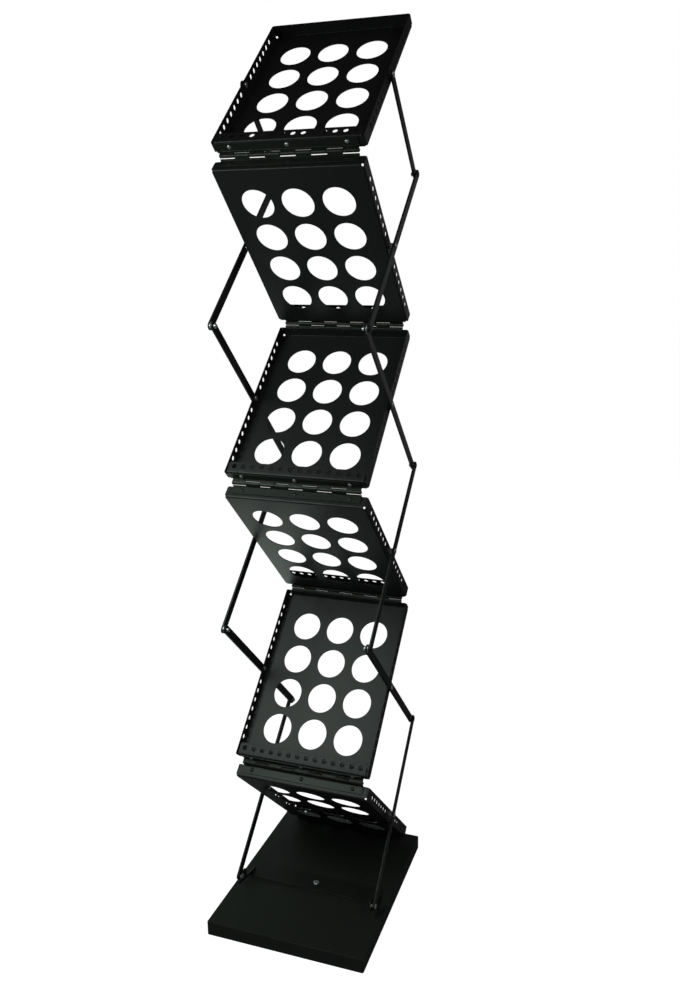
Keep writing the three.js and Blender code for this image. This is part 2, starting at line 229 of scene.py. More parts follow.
def take_in(bm, other):
    """Adds another bmesh's geometry to bm."""
    spare = bpy.data.meshes.new("spare")
    other.to_mesh(spare)
    other.free()
    bm.from_mesh(spare)
    bpy.data.meshes.remove(spare)


def edges_where(bm, test):
    return [e for e in bm.edges if all(test(v.co) for v in e.verts)]


def sweep(bm, edges, centre, axis, angle, steps):
    """Turns edges about an axis, leaving a bent strip. Gives the last edges."""
    made = bmesh.ops.spin(
        bm, geom=edges, cent=centre, axis=axis, angle=angle, steps=steps, use_duplicate=False,
    )
    return [g for g in made["geom_last"] if isinstance(g, bmesh.types.BMEdge)]


def drag(bm, edges, shift):
    """Extrudes edges straight. Gives the new edges."""
    made = bmesh.ops.extrude_edge_only(bm, edges=edges)
    verts = [g for g in made["geom"] if isinstance(g, bmesh.types.BMVert)]
    bmesh.ops.translate(bm, vec=shift, verts=verts)
    return [
        g for g in made["geom"]
        if isinstance(g, bmesh.types.BMEdge) and all(v in verts for v in g.verts)
    ]


def chamfer_rims(bm, size, segments=1, sharper_than=50.0):
    """Breaks every sharp edge and marks the narrow faces."""
    mark = bm.faces.layers.float.get(RIM_MARK) or bm.faces.layers.float.new(RIM_MARK)
    limit = math.radians(sharper_than)
    sharp = [e for e in bm.edges if e.is_manifold and e.calc_face_angle() > limit]
    made = bmesh.ops.bevel(
        bm, geom=sharp, offset=size, offset_type="OFFSET", segments=segments, profile=0.5,
        affect="EDGES", clamp_overlap=False, material=-1,
    )
    for face in made["faces"]:
        face[mark] = 1.0


def thicken(bm, thickness, chamfer, outward):
    """Gives an open sheet its wall. The faces drawn are its outer ones, and outward is the
    way that the largest of them looks."""
    bmesh.ops.remove_doubles(bm, verts=bm.verts, dist=MERGE)
    bmesh.ops.recalc_face_normals(bm, faces=bm.faces)
    bm.faces.ensure_lookup_table()
    probe = max(bm.faces, key=lambda f: f.calc_area())
    if probe.normal.dot(Vector(outward)) < 0:
        bmesh.ops.reverse_faces(bm, faces=bm.faces)
    bm.normal_update()
    bmesh.ops.solidify(bm, geom=list(bm.faces), thickness=thickness)
    bmesh.ops.recalc_face_normals(bm, faces=bm.faces)
    bm.normal_update()
    chamfer_rims(bm, chamfer)


def turned(points, sides, place):
    """A solid of revolution about Z. points are (radius, height) pairs along its profile."""
    bm = bmesh.new()
    outline = [bm.verts.new((r, 0.0, z)) for r, z in points]
    edges = [bm.edges.new(pair) for pair in zip(outline, outline[1:])]
    bmesh.ops.spin(
        bm, geom=outline + edges, cent=(0.0, 0.0, 0.0), axis=(0.0, 0.0, 1.0),
        angle=2 * math.pi, steps=sides, use_merge=True, use_duplicate=False,
    )
    bmesh.ops.remove_doubles(bm, verts=bm.verts, dist=MERGE)
    bmesh.ops.recalc_face_normals(bm, faces=bm.faces)
    bmesh.ops.transform(bm, matrix=place, verts=bm.verts)
    return bm


def dome(radius, height, low, steps=5):
    """Profile points of a low round head that starts at low on its rim."""
    return [
        (radius * math.cos(QUARTER * n / steps), low + height * math.sin(QUARTER * n / steps))
        for n in range(steps + 1)
    ]


def finished(name, bm, material, place=None, angle=35.0, weighted=True):
    """Makes the piece's object from bm, laid at its place."""
    if place is not None:
        bmesh.ops.transform(bm, matrix=place, verts=bm.verts)
    mesh = bpy.data.meshes.new(name)
    bm.to_mesh(mesh)
    bm.free()
    mesh.shade_smooth()
    mesh.set_sharp_from_angle(angle=math.radians(angle))
    mesh.materials.append(material)
    piece = bpy.data.objects.new(name, mesh)
    bpy.context.scene.collection.objects.link(piece)
    if weighted:
        even = piece.modifiers.new("Even shading", "WEIGHTED_NORMAL")
        even.keep_sharp = True
        even.weight = 100
    return piece


def tray_place(level):
    """The tray frame of a level on the open stand."""
    sizes = bpy.context.scene.rack_trays
    open_angle = LINE_ANGLE - math.atan2(sizes.stack, sizes.spacing)
    turn = Matrix.Rotation(math.pi if level % 2 else 0.0, 4, "Z")
    tilt = Matrix.Rotation(open_angle, 4, "X")
    return Matrix.Translation(HINGE_AT[level - 1]) @ turn @ tilt


def across(side):
    """Turns Z to point away from the stand's middle on one side."""
    return Matrix.Rotation(side * QUARTER, 4, "Y")


# ---------------------------------------------------------------- finishes


def new_group(name, inputs, outputs):
    group = bpy.data.node_groups.new(name, "ShaderNodeTree")
    for label, kind, value in inputs:
        socket = group.interface.new_socket(label, in_out="INPUT", socket_type=kind)
        if value is not None:
            socket.default_value = value
    for label, kind in outputs:
        group.interface.new_socket(label, in_out="OUTPUT", socket_type=kind)
    return group


def add_node(tree, kind, **settings):
    node = tree.nodes.new(kind)
    for key, value in settings.items():
        setattr(node, key, value)
    return node


def put(tree, source, target):
    """Links a socket to a socket, or sets a plain value."""
    if isinstance(source, bpy.types.NodeSocket):
        tree.links.new(source, target)
    else:
        target.default_value = source


def noise(tree, vector, scale, detail=3.0, roughness=0.55):
    node = add_node(tree, "ShaderNodeTexNoise")
    put(tree, vector, node.inputs["Vector"])
    put(tree, scale, node.inputs["Scale"])
    node.inputs["Detail"].default_value = detail
    node.inputs["Roughness"].default_value = roughness
    return node.outputs["Fac"]


def remap(tree, value, low, high, to_low=0.0, to_high=1.0):
    node = add_node(tree, "ShaderNodeMapRange")
    put(tree, value, node.inputs["Value"])
    for label, number in (
        ("From Min", low), ("From Max", high), ("To Min", to_low), ("To Max", to_high),
    ):
        put(tree, number, node.inputs[label])
    return node.outputs["Result"]


def maths(tree, operation, first, second):
    node = add_node(tree, "ShaderNodeMath", operation=operation)
    put(tree, first, node.inputs[0])
    put(tree, second, node.inputs[1])
    return node.outputs[0]


def blended(tree, factor, first, second):
    node = add_node(tree, "ShaderNodeMix", data_type="RGBA")
    put(tree, factor, node.inputs["Factor"])
    put(tree, first, node.inputs["A"])
    put(tree, second, node.inputs["B"])
    return node.outputs["Result"]


PEBBLE_SCALE = 330.0
WAVE_SCALE = 190.0
CLOUD_SCALE = 14.0
WAVE_SHARE = 1.4  # height of the wave beside the pebble's
HIGHLIGHT_FROM, HIGHLIGHT_FULL = 1.28, 1.46  # heights at which the painted highlight on the crests starts and is full


def orange_peel_group():
    """Textured coat: a fine pebbled height, the mask of a painted highlight on its crests and a
    soft cloudiness.
    """
    group = new_group(
        "Orange peel",
        [("Vector", "NodeSocketVector", None), ("Scale", "NodeSocketFloat", 1.0)],
        [("Height", "NodeSocketFloat"), ("Crest highlight", "NodeSocketFloat"), ("Cloud", "NodeSocketFloat")],
    )
    inside = add_node(group, "NodeGroupInput")
    outside = add_node(group, "NodeGroupOutput")
    vector, scale = inside.outputs["Vector"], inside.outputs["Scale"]
    pebble = noise(group, vector, maths(group, "MULTIPLY", scale, PEBBLE_SCALE), 3.0)
    wave = noise(group, vector, maths(group, "MULTIPLY", scale, WAVE_SCALE), 2.0)
    cloud = noise(group, vector, maths(group, "MULTIPLY", scale, CLOUD_SCALE), 4.0)
    height = maths(group, "ADD", pebble, maths(group, "MULTIPLY", wave, WAVE_SHARE))
    put(group, height, outside.inputs["Height"])
    # Mask of the painted highlight: where the pebble's crests are drawn lighter
    put(group, remap(group, height, HIGHLIGHT_FROM, HIGHLIGHT_FULL), outside.inputs["Crest highlight"])
    put(group, remap(group, cloud, 0.3, 0.7), outside.inputs["Cloud"])
    return group


def rubbed_edge_group():
    """Where the cut edges have rubbed: the rim mark broken up by noise."""
    group = new_group(
        "Rubbed edge",
        [("Vector", "NodeSocketVector", None), ("Amount", "NodeSocketFloat", 0.3)],
        [("Mask", "NodeSocketFloat")],
    )
    inside = add_node(group, "NodeGroupInput")
    outside = add_node(group, "NodeGroupOutput")
    rim = add_node(group, "ShaderNodeAttribute", attribute_name=RIM_MARK)
    patch = noise(group, inside.outputs["Vector"], 90.0, 4.0, 0.65)
    spread = maths(group, "MULTIPLY", inside.outputs["Amount"], 0.5)
    edge_of_patch = maths(group, "SUBTRACT", 0.8, spread)
    broken = remap(group, patch, edge_of_patch, maths(group, "ADD", edge_of_patch, 0.12))
    put(group, maths(group, "MULTIPLY", rim.outputs["Fac"], broken), outside.inputs["Mask"])
    return group


def dust_group():
    """Fine dust on faces that look up, uneven."""
    group = new_group(
        "Settled dust",
        [("Vector", "NodeSocketVector", None), ("Amount", "NodeSocketFloat", 0.2)],
        [("Mask", "NodeSocketFloat")],
    )
    inside = add_node(group, "NodeGroupInput")
    outside = add_node(group, "NodeGroupOutput")
    facing = add_node(group, "ShaderNodeNewGeometry")
    split = add_node(group, "ShaderNodeSeparateXYZ")
    put(group, facing.outputs["Normal"], split.inputs["Vector"])
    level = remap(group, split.outputs["Z"], 0.35, 1.0)
    specks = noise(group, inside.outputs["Vector"], 900.0, 2.0)
    drift = noise(group, inside.outputs["Vector"], 22.0, 4.0)
    sparse = remap(group, specks, 0.52, 0.72)
    uneven = remap(group, drift, 0.35, 0.75)
    broken = maths(group, "MULTIPLY", sparse, uneven)
    film = maths(group, "MULTIPLY", drift, 0.18)
    lying = maths(group, "MULTIPLY", level, maths(group, "ADD", broken, film))
    put(group, maths(group, "MULTIPLY", lying, inside.outputs["Amount"]), outside.inputs["Mask"])
    return group


GROUP_MAKERS = {
    "Orange peel": orange_peel_group,
    "Rubbed edge": rubbed_edge_group,
    "Settled dust": dust_group,
}


def placed_group(tree, name, vector, **values):
    group = bpy.data.node_groups.get(name) or GROUP_MAKERS[name]()
    node = add_node(tree, "ShaderNodeGroup", node_tree=group)
    put(tree, vector, node.inputs["Vector"])
    for label, value in values.items():
        put(tree, value, node.inputs[label])
    return node.outputs


def new_material(name):
    material = bpy.data.materials.new(name)
    material.use_nodes = True
    tree = material.node_tree
    shader = tree.nodes["Principled BSDF"]
    vector = add_node(tree, "ShaderNodeTexCoord").outputs["Object"]
    return material, tree, shader, vector


DUST_COLOUR = (0.20, 0.20, 0.19, 1.0)
RUBBED_STEEL = (0.16, 0.165, 0.165, 1.0)
CREST_HIGHLIGHT = (0.024, 0.031, 0.027, 1.0)  # painted highlight: colour of the textured coat's crests, drawn lighter
SCRATCH = (0.03, 0.03, 0.03, 1.0)  # hair scratches in the lacquer
RUBBED_LACQUER = (0.05, 0.05, 0.05, 1.0)


def powder_coat(name, base, roughness, grain, specular):
    """Black powder coat with pebble, cloudiness, a painted highlight on the pebble's crests, rubbed
    edges and a little dust.
    """
    known = bpy.data.materials.get(name)
    if known:
        return known
    finish = bpy.context.scene.rack_finishes
    material, tree, shader, vector = new_material(name)
    peel = placed_group(tree, "Orange peel", vector, Scale=1.0)
    rubbed = placed_group(tree, "Rubbed edge", vector, Amount=finish.wear)["Mask"]
    dust = placed_group(tree, "Settled dust", vector, Amount=finish.dust)["Mask"]
    deep = tuple(c * 0.6 for c in base[:3]) + (1.0,)
    pale = tuple(c * 1.2 for c in base[:3]) + (1.0,)
    cloudy = blended(tree, peel["Cloud"], deep, pale)
    # Painted highlight: the pebble's crests are drawn lighter, as if light caught them
    paint = blended(tree, peel["Crest highlight"], cloudy, CREST_HIGHLIGHT)
    dusty = blended(tree, dust, paint, DUST_COLOUR)
    put(tree, blended(tree, rubbed, dusty, RUBBED_STEEL), shader.inputs["Base Color"])
    rough = remap(tree, peel["Cloud"], 0.0, 1.0, roughness - 0.04, roughness + 0.05)
    grainy = maths(tree, "SUBTRACT", rough, maths(tree, "MULTIPLY", peel["Crest highlight"], 0.12))
    dull = maths(tree, "ADD", grainy, maths(tree, "MULTIPLY", dust, 0.5))
    polished = maths(tree, "SUBTRACT", dull, maths(tree, "MULTIPLY", rubbed, 0.12))
    put(tree, polished, shader.inputs["Roughness"])
    bump = add_node(tree, "ShaderNodeBump")
    bump.inputs["Strength"].default_value = grain
    bump.inputs["Distance"].default_value = 0.0009
    put(tree, peel["Height"], bump.inputs["Height"])
    put(tree, bump.outputs["Normal"], shader.inputs["Normal"])
    shader.inputs["Specular IOR Level"].default_value = specular
    return material


def tray_paint():
    return powder_coat("tray_paint", bpy.context.scene.rack_finishes.tray, 0.44, 0.9, 0.28)


def strut_paint():
    return powder_coat("strut_paint", bpy.context.scene.rack_finishes.strut, 0.38, 0.4, 0.34)


def hinge_paint():
    return powder_coat("hinge_paint", bpy.context.scene.rack_finishes.hinge, 0.40, 0.4, 0.28)


def board_gloss():
    """Black lacquer: a mirror coat with faint waviness, flecks of painted highlight on its crests,
    dust and hair scratches.
    """
    known = bpy.data.materials.get("board_gloss")
    if known:
        return known
    finish = bpy.context.scene.rack_finishes
    material, tree, shader, vector = new_material("board_gloss")
    peel = placed_group(tree, "Orange peel", vector, Scale=0.8)
    rubbed = placed_group(tree, "Rubbed edge", vector, Amount=finish.wear)["Mask"]
    dust = placed_group(tree, "Settled dust", vector, Amount=finish.dust)["Mask"]
    stretch = add_node(tree, "ShaderNodeMapping")
    stretch.inputs["Scale"].default_value = (1.0, 0.04, 1.0)
    stretch.inputs["Rotation"].default_value = (0.0, 0.0, 0.5)
    put(tree, vector, stretch.inputs["Vector"])
    hair = remap(tree, noise(tree, stretch.outputs["Vector"], 480.0, 2.0), 0.66, 0.72)
    lacquer = finish.board[:]
    scratched = blended(tree, maths(tree, "MULTIPLY", hair, 0.25), lacquer, SCRATCH)
    # Painted highlight: some crests of the waviness are drawn lighter
    crest_highlit = blended(tree, maths(tree, "MULTIPLY", peel["Crest highlight"], 0.3), scratched, CREST_HIGHLIGHT)
    dusty = blended(tree, dust, crest_highlit, DUST_COLOUR)
    put(tree, blended(tree, rubbed, dusty, RUBBED_LACQUER), shader.inputs["Base Color"])
    rough = remap(tree, peel["Cloud"], 0.0, 1.0, 0.13, 0.19)
    dull = maths(tree, "ADD", rough, maths(tree, "MULTIPLY", dust, 0.6))
    put(tree, dull, shader.inputs["Roughness"])
    bump = add_node(tree, "ShaderNodeBump")
    bump.inputs["Strength"].default_value = 0.06
    bump.inputs["Distance"].default_value = 0.0002
    put(tree, peel["Height"], bump.inputs["Height"])
    put(tree, bump.outputs["Normal"], shader.inputs["Normal"])
    shader.inputs["Specular IOR Level"].default_value = 0.5
    return material


def zinc_plate():
    """Bright zinc: soft patches, darker in places, slightly rough."""
    known = bpy.data.materials.get("zinc")
    if known:
        return known
    finish = bpy.context.scene.rack_finishes
    material, tree, shader, vector = new_material("zinc")
    cloud = noise(tree, vector, 260.0, 4.0)
    fine = noise(tree, vector, 1900.0, 2.0)
    dark = tuple(c * 0.62 for c in finish.zinc[:3]) + (1.0,)
    patchy = blended(tree, remap(tree, cloud, 0.35, 0.65), dark, finish.zinc[:])
    put(tree, patchy, shader.inputs["Base Color"])
    put(tree, remap(tree, cloud, 0.3, 0.7, 0.42, 0.30), shader.inputs["Roughness"])
    bump = add_node(tree, "ShaderNodeBump")
    bump.inputs["Strength"].default_value = 0.15
    bump.inputs["Distance"].default_value = 0.00008
    put(tree, fine, bump.inputs["Height"])
    put(tree, bump.outputs["Normal"], shader.inputs["Normal"])
    shader.inputs["Metallic"].default_value = 0.6
    return material


# ---------------------------------------------------------------- trays

BIG_HOLE_SIDES = 56
DOT_SIDES = 20
BEND_STEPS = 4
SIDE_DOTS = 7  # small holes on each side of the pivot
LIP_DOTS = 14
FIRST_DOT = 0.024  # pivot to the first small hole
DOT_LEVEL = 0.0095  # small holes above the hinge axis level
LIP_DOT_SETBACK = 0.008  # small holes to the lip's free edge
SEAM = 0.00015  # clear gap where two flanges meet
STEP_UP = 0.0012  # flange's clear rise before it widens past the fold
RIM_CORNER = 0.002  # corner radius at a side flange's rim
LIP_CORNER = 0.0025  # corner radius at the lip's free edge
# A drawing's X and Y become Y and Z on a side wall, and X and Z on an end wall.
SIDE_WALL = Matrix(((0, 0, 1, 0), (1, 0, 0, 0), (0, 1, 0, 0), (0, 0, 0, 1)))
END_WALL = Matrix(((1, 0, 0, 0), (0, 0, 1, 0), (0, 1, 0, 0), (0, 0, 0, 1)))


def large_hole_centres(sizes):
    middle = sizes.spacing / 2 - sizes.row_shift
    for row in (-1.5, -0.5, 0.5, 1.5):
        for column in (-1, 0, 1):
            yield column * sizes.column_pitch, middle + row * sizes.row_pitch


def panel_sheet(sizes):
    half = sizes.width / 2 - sizes.bend
    low = sizes.setback + sizes.bend
    high = sizes.spacing - sizes.setback - sizes.bend
    cut = sizes.relief

    def draw(bm):
        line = Outline(bm, -half + cut, low)
        line.line(half - cut, low).arc(half, low, -QUARTER, 4)
        line.line(half, high - cut).arc(half, high, -QUARTER, 4)
        line.line(-half + cut, high).arc(-half, high, -QUARTER, 4)
        line.line(-half, low + cut).arc(-half, low, -QUARTER, 3)
        edges = line.close()
        for x, y in large_hole_centres(sizes):
            edges += ring(bm, x, y, sizes.hole / 2, BIG_HOLE_SIDES)
        return edges

    return plate(draw, Matrix.Translation((0.0, 0.0, -sizes.drop)))


def side_flange(sizes, side):
    foot = sizes.bend - sizes.drop
    low, high = sizes.setback, sizes.spacing - sizes.setback
    rim = sizes.flange - sizes.drop
    inset = sizes.bend + sizes.relief
    middle = sizes.spacing / 2

    def draw(bm):
        line = Outline(bm, low + inset, foot)
        line.line(high - inset, foot).line(high - inset, foot + STEP_UP)
        line.line(high, foot + STEP_UP).line(high, rim - RIM_CORNER)
        line.arc(high - RIM_CORNER, rim - RIM_CORNER, QUARTER, 3)
        line.line(low + RIM_CORNER, rim)
        line.arc(low + RIM_CORNER, rim - RIM_CORNER, QUARTER, 3)
        line.line(low, foot + STEP_UP).line(low + inset, foot + STEP_UP)
        edges = line.close()
        for way in (-1, 1):
            for n in range(SIDE_DOTS):
                at = middle + way * (FIRST_DOT + n * sizes.dot_pitch)
                edges += ring(bm, at, DOT_LEVEL, sizes.dot / 2, DOT_SIDES)
        edges += ring(bm, middle, sizes.stack / 2, bpy.context.scene.rack_struts.hole, 16)
        return edges

    return plate(draw, Matrix.Translation((side * sizes.width / 2, 0.0, 0.0)) @ SIDE_WALL)


def end_flange(sizes, at, rim, shoulder):
    """The lower or upper flange. shoulder is the half width at the rim, where a lip folds on."""
    foot = sizes.bend - sizes.drop
    root = sizes.width / 2 - sizes.bend - sizes.relief
    wide = sizes.width / 2 - sizes.sheet - SEAM

    def draw(bm):
        line = Outline(bm, -root, foot)
        line.line(root, foot).line(root, foot + STEP_UP).line(wide, foot + STEP_UP)
        if shoulder < wide:
            line.line(wide, rim - STEP_UP).line(shoulder, rim - STEP_UP)
            line.line(shoulder, rim).line(-shoulder, rim)
            line.line(-shoulder, rim - STEP_UP).line(-wide, rim - STEP_UP)
        else:
            line.line(wide, rim).line(-wide, rim)
        line.line(-wide, foot + STEP_UP).line(-root, foot + STEP_UP)
        return line.close()

    return plate(draw, Matrix.Translation((0.0, at, 0.0)) @ END_WALL)


def lip_sheet(sizes):
    half = sizes.width / 2 - sizes.lip_gap
    low, high = sizes.setback + sizes.bend, sizes.setback + sizes.lip
    rim = sizes.flange - sizes.drop
    end, shoulder = half - LIP_CORNER, high - LIP_CORNER

    def draw(bm):
        line = Outline(bm, -half, low)
        line.line(half, low).line(half, shoulder).arc(end, shoulder, QUARTER, 4)
        line.line(-end, high).arc(-end, shoulder, QUARTER, 4)
        edges = line.close()
        for n in range(LIP_DOTS):
            at = (n - (LIP_DOTS - 1) / 2) * sizes.dot_pitch
            edges += ring(bm, at, high - LIP_DOT_SETBACK, sizes.lip_dot / 2, DOT_SIDES)
        return edges

    return plate(draw, Matrix.Translation((0.0, 0.0, rim)))


def tray_sheet(sizes):
    """The whole pressed tray in its own frame."""
    bm = panel_sheet(sizes)
    half = sizes.width / 2 - sizes.bend
    low = sizes.setback + sizes.bend
    high = sizes.spacing - sizes.setback - sizes.bend
    bend_level = sizes.bend - sizes.drop
    rim = sizes.flange - sizes.drop
    near = MERGE
    for side in (-1, 1):
        edges = edges_where(bm, lambda co: abs(co.x - side * half) < near)
        sweep(bm, edges, (side * half, 0, bend_level), (0, 1, 0), -side * QUARTER, BEND_STEPS)
    for at, way in ((low, -1), (high, 1)):
        edges = edges_where(bm, lambda co: abs(co.y - at) < near and abs(co.z + sizes.drop) < near)
        sweep(bm, edges, (0, at, bend_level), (1, 0, 0), way * QUARTER, BEND_STEPS)
    take_in(bm, side_flange(sizes, -1))
    take_in(bm, side_flange(sizes, 1))
    take_in(bm, end_flange(sizes, sizes.spacing - sizes.setback, rim, sizes.width))
    lip_half = sizes.width / 2 - sizes.lip_gap
    take_in(bm, end_flange(sizes, sizes.setback, rim - sizes.bend, lip_half))
    top = edges_where(
        bm,
        lambda co: abs(co.y - sizes.setback) < near and abs(co.z - rim + sizes.bend) < near,
    )
    sweep(bm, top, (0, low, rim - sizes.bend), (1, 0, 0), -QUARTER, BEND_STEPS)
    take_in(bm, lip_sheet(sizes))
    thicken(bm, sizes.sheet, sizes.chamfer, (0, 0, -1))
    return bm


class RACK_OT_make_trays(bpy.types.Operator):
    """Presses the six perforated trays"""

    bl_idname = "rack.make_trays"
    bl_label = "Trays"

    def execute(self, context):
        for level in range(1, TRAY_COUNT + 1):
            bm = tray_sheet(context.scene.rack_trays)
            piece = finished(f"tray_{level}_sheet", bm, tray_paint(), tray_place(level))
            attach(piece, f"tray_{level}")
            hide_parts(f"tray_{level}")
        return {"FINISHED"}


# ---------------------------------------------------------------- hinges

EYE_STEPS = 16
EYE_TURN = math.radians(300)
LEAF_BEND = 0.0006  # inner radius of the fold between leaf and knuckle arm
PIN_OVERHANG = 0.001
PIN_CHAMFER = 0.0004
LEAF_CORNER = 0.001
LEAF_CHAMFER = 0.0002
BOARD_LEAF_LENGTH = 0.0155  # flat part of the bottom leaf, with its ramp's foot
RIVET_SEAT = 0.0001  # clear gap under a leaf rivet's head and tail
CLEAR = 0.0003  # kept between pieces that touch


def knuckle_spans(sizes, first):
    """The (start, end) along X of one leaf's own knuckles."""
    start = -sizes.knuckles * sizes.pitch / 2
    for index in range(first, sizes.knuckles, 2):
        at = start + index * sizes.pitch
        yield at + sizes.gap / 2, at + sizes.pitch - sizes.gap / 2


def own_edges(edges, sizes, first):
    spans = list(knuckle_spans(sizes, first))
    near = MERGE
    return [
        e for e in edges
        if any(all(a - near < v.co.x < b + near for v in e.verts) for a, b in spans)
    ]


def leaf_outline(bm, sizes, first, low, high):
    """A leaf's flat part in XY, its lower edge divided where its knuckles start and end."""
    half = sizes.knuckles * sizes.pitch / 2
    line = Outline(bm, -half, low)
    for a, b in knuckle_spans(sizes, first):
        line.line(a, low).line(b, low)
    end, shoulder = half - LEAF_CORNER, high - LEAF_CORNER
    line.line(half, low).line(half, shoulder).arc(end, shoulder, QUARTER, 3)
    line.line(-end, high).arc(-end, shoulder, QUARTER, 3)
    return line.close()


def tray_leaf(sizes, setback, first, notch):
    """A leaf on the flange of the tray above the hinge, with rolled knuckles."""
    face = setback - CLEAR - sizes.leaf
    low = sizes.barrel + LEAF_BEND
    upright = Matrix(((1, 0, 0, 0), (0, 0, 1, face), (0, 1, 0, 0), (0, 0, 0, 1)))
    bm = plate(lambda b: leaf_outline(b, sizes, first, low, sizes.height), upright)
    edges = edges_where(bm, lambda co: abs(co.z - low) < MERGE)
    edges = sweep(bm, edges, (0, face - LEAF_BEND, low), (1, 0, 0), -QUARTER, 3)
    own = own_edges(edges, sizes, first)
    between = [e for e in edges if e not in own]
    drag(bm, between, (0, notch - (face - LEAF_BEND), 0))
    own = drag(bm, own, (0, -(face - LEAF_BEND), 0))
    sweep(bm, own, (0, 0, 0), (1, 0, 0), EYE_TURN, EYE_STEPS)
    thicken(bm, sizes.leaf, LEAF_CHAMFER, (0, -1, 0))
    return bm


def board_leaf(sizes, first, floor):
    """The bottom leaf: flat on the board, ramped up into its knuckles."""
    level = floor + CLEAR
    tangent = sizes.barrel / math.sqrt(2)
    ramp_start = -tangent + (-tangent - level)
    far = ramp_start + BOARD_LEAF_LENGTH
    flat = Matrix(((1, 0, 0, 0), (0, 1, 0, 0), (0, 0, 1, level), (0, 0, 0, 1)))
    bm = plate(lambda b: leaf_outline(b, sizes, first, ramp_start, far), flat)
    edges = own_edges(edges_where(bm, lambda co: abs(co.y - ramp_start) < MERGE), sizes, first)
    edges = drag(bm, edges, (0, -tangent - ramp_start, -tangent - level))
    sweep(bm, edges, (0, 0, 0), (1, 0, 0), -EYE_TURN + 0.2, EYE_STEPS)
    thicken(bm, sizes.leaf, LEAF_CHAMFER, (0, 0, -1))
    return bm


def pin_solid(sizes):
    reach = sizes.knuckles * sizes.pitch / 2 + PIN_OVERHANG
    r = sizes.pin
    profile = [
        (0.0, -reach), (r - PIN_CHAMFER, -reach), (r, -reach + PIN_CHAMFER),
        (r, reach - PIN_CHAMFER), (r - PIN_CHAMFER, reach), (0.0, reach),
    ]
    return turned(profile, 16, across(1))


def leaf_rivets(sizes, setback, sheet):
    """Three rivets through leaf and flange: domed heads outside, flat tails inside."""
    bm = bmesh.new()
    outer = setback - CLEAR - sizes.leaf
    inner = setback + sheet
    head, shank, tail = 0.0034, 0.0017, 0.0027
    profile = dome(head, 0.0015, 0.00005)[::-1] + [(head, -RIVET_SEAT), (shank, -RIVET_SEAT)]
    under = outer - inner - RIVET_SEAT
    profile += [(shank, under), (tail, under), (tail, under - 0.0006)]
    profile += [(tail - 0.0004, under - 0.001), (0.0, under - 0.001)]
    outwards = Matrix.Rotation(QUARTER, 4, "X")
    for x in (-sizes.rivet_x, 0.0, sizes.rivet_x):
        place = Matrix.Translation((x, outer - RIVET_SEAT, sizes.rivet_up)) @ outwards
        take_in(bm, turned(profile, 20, place))
    return bm


def turned_over(sizes):
    """Lays a leaf drawn for the tray above on the upper flange of the tray below."""
    return Matrix.Translation((0.0, sizes.spacing, sizes.stack)) @ Matrix.Rotation(math.pi, 4, "X")


class RACK_OT_make_hinges(bpy.types.Operator):
    """Rolls the leaves and pins of the six piano hinges"""

    bl_idname = "rack.make_hinges"
    bl_label = "Hinges"

    def execute(self, context):
        sizes, trays = context.scene.rack_hinges, context.scene.rack_trays
        for level in range(1, TRAY_COUNT + 1):
            place = tray_place(level)
            body = f"tray_{level}"
            above = tray_leaf(sizes, trays.setback, 0, sizes.notch)
            self.keep(f"hinge_{level}_leaf_above", above, place, body, f"hinge_{level}_upper_leaf")
            pin = finished(f"hinge_{level}_pin_rod", pin_solid(sizes), zinc_plate(), place)
            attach(pin, body)
            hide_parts(f"hinge_{level}_pin")
            if level < TRAY_COUNT:
                notch = sizes.open_notch if level % 2 else sizes.notch
                below = tray_leaf(sizes, trays.setback, 1, notch)
                take_in(below, leaf_rivets(sizes, trays.setback, trays.sheet))
                self.keep(
                    f"hinge_{level + 1}_leaf_below", below, place @ turned_over(trays), body,
                    f"hinge_{level + 1}_lower_leaf",
                )
        floor = BOARD_HIGH.z - HINGE_AT[0].z
        board = board_leaf(sizes, 1, floor)
        self.keep(
            "hinge_1_leaf_below", board, Matrix.Translation(HINGE_AT[0]), "base",
            "hinge_1_lower_leaf",
        )
        return {"FINISHED"}

    def keep(self, name, bm, place, body, node):
        piece = finished(name, bm, hinge_paint(), place)
        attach(piece, body)
        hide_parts(node)


class RACK_OT_make_leaf_rivets(bpy.types.Operator):
    """Sets the small bare rivets that hold each upper leaf to its flange"""

    bl_idname = "rack.make_leaf_rivets"
    bl_label = "Leaf rivets"

    def execute(self, context):
        sizes, trays = context.scene.rack_hinges, context.scene.rack_trays
        for level in range(1, TRAY_COUNT + 1):
            bm = leaf_rivets(sizes, trays.setback, trays.sheet)
            piece = finished(f"tray_{level}_leaf_rivets", bm, zinc_plate(), tray_place(level))
            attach(piece, f"tray_{level}")
        return {"FINISHED"}


# ---------------------------------------------------------------- struts

STRUT_END_STEPS = 14
FOOT_RISE = 0.017  # foot pivot above the bottom hinge axis
STUD_RADIUS = 0.003
STUD_HEAD = 0.0045
JOINT_HEAD = 0.0048  # painted head outside a strut joint
JOINT_WASHER = 0.0068
JOINT_EDGE = 0.0002
JOINT_TAIL = 0.0036
JOINT_TAIL_LENGTH = 0.004
PIVOT_HEAD = 0.0044  # inside the tray's flange
PIVOT_SHOULDER = 0.0046
PIVOT_END = 0.0048  # round head outside the bar
SHANK = 0.0025


def strut_angle():
    """Slope of a bar above the level on the open stand."""
    return math.asin(HALF_RISE / bpy.context.scene.rack_struts.half)


def foot_reach():
    """The bottom tray's pivot to the foot stud, along the bar."""
    return (HALF_RISE - FOOT_RISE) / math.sin(strut_angle())


